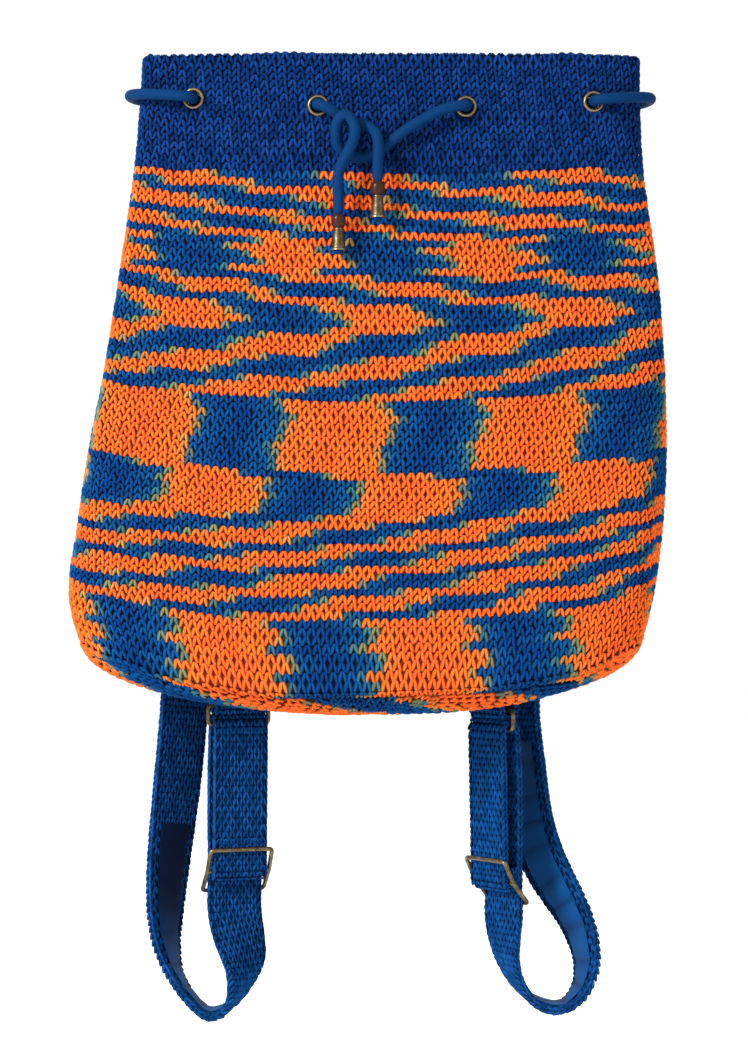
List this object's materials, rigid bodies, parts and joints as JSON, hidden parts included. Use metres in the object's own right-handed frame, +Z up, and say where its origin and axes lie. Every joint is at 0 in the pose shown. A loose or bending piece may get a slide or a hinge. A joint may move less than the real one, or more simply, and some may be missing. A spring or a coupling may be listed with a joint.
{
  "type": "crochet backpack",
  "caption": "Soft crochet bucket backpack with a drawstring through eyelets, a fabric lining and two adjustable crochet shoulder straps, shown hanging by its rim.",
  "frame": {"origin": "middle of the bag's mouth at the height of its rim, where it hangs", "axes": "+Z up along the hanging bag, +X to the viewer's right across its width, -Y out of its front with the knot"},
  "size_m": [0.4007, 0.135, 0.6506],
  "materials": {
    "bag_yarn": "single crochet yarn, blue and orange",
    "strap_yarn": "single crochet yarn, royal blue",
    "lining_fabric": "smooth woven fabric, blue",
    "cord": "round knitted cord, blue",
    "antique_brass": "antique brass, half polished",
    "wood": "dark red-brown, lacquered"
  },
  "bodies": {
    "bag": {"crochet_bag": "bag_yarn", "lining": "lining_fabric", "drawstring": "cord", "eyelet_front_far_left": "antique_brass", "eyelet_front_mid_left": "antique_brass", "eyelet_front_mid_right": "antique_brass", "eyelet_front_far_right": "antique_brass", "eyelet_back_far_left": "antique_brass", "eyelet_back_mid_left": "antique_brass", "eyelet_back_mid_right": "antique_brass", "eyelet_back_far_right": "antique_brass", "washer_front_far_left": "antique_brass", "washer_front_mid_left": "antique_brass", "washer_front_mid_right": "antique_brass", "washer_front_far_right": "antique_brass", "washer_back_far_left": "antique_brass", "washer_back_mid_left": "antique_brass", "washer_back_mid_right": "antique_brass", "washer_back_far_right": "antique_brass", "bead_left": "wood", "bell_left": "antique_brass", "strap_lining_left": "lining_fabric", "strap_left": "strap_yarn", "strap_return_left": "strap_yarn", "ring_tab_left": "strap_yarn", "bead_right": "wood", "bell_right": "antique_brass", "strap_lining_right": "lining_fabric", "strap_right": "strap_yarn", "strap_return_right": "strap_yarn", "ring_tab_right": "strap_yarn"},
    "slider_left": {"slider_left": "antique_brass", "strap_end_left": "strap_yarn"},
    "slider_right": {"slider_right": "antique_brass", "strap_end_right": "strap_yarn"},
    "ring_left": {"ring_left": "antique_brass"},
    "ring_right": {"ring_right": "antique_brass"}
  },
  "joints": [
    {"name": "ring_left_swing", "type": "hinge", "parent": "bag", "child": "ring_left", "pos_m": [-0.0965, 0.03, -0.436], "axis": [0.9397, 0.342, 0], "range_deg": [-3, 5]},
    {"name": "slider_left_slide", "type": "slide", "parent": "bag", "child": "slider_left", "axis": [0, 0, 1], "range_m": [0, 0.05], "deforming": ["strap_return_left"]},
    {"name": "ring_right_swing", "type": "hinge", "parent": "bag", "child": "ring_right", "pos_m": [0.0777, 0.03, -0.439], "axis": [0.5736, -0.8192, 0], "range_deg": [-3, 5]},
    {"name": "slider_right_slide", "type": "slide", "parent": "bag", "child": "slider_right", "axis": [0, 0, 1], "range_m": [0, 0.05], "deforming": ["strap_return_right"]}
  ]
}
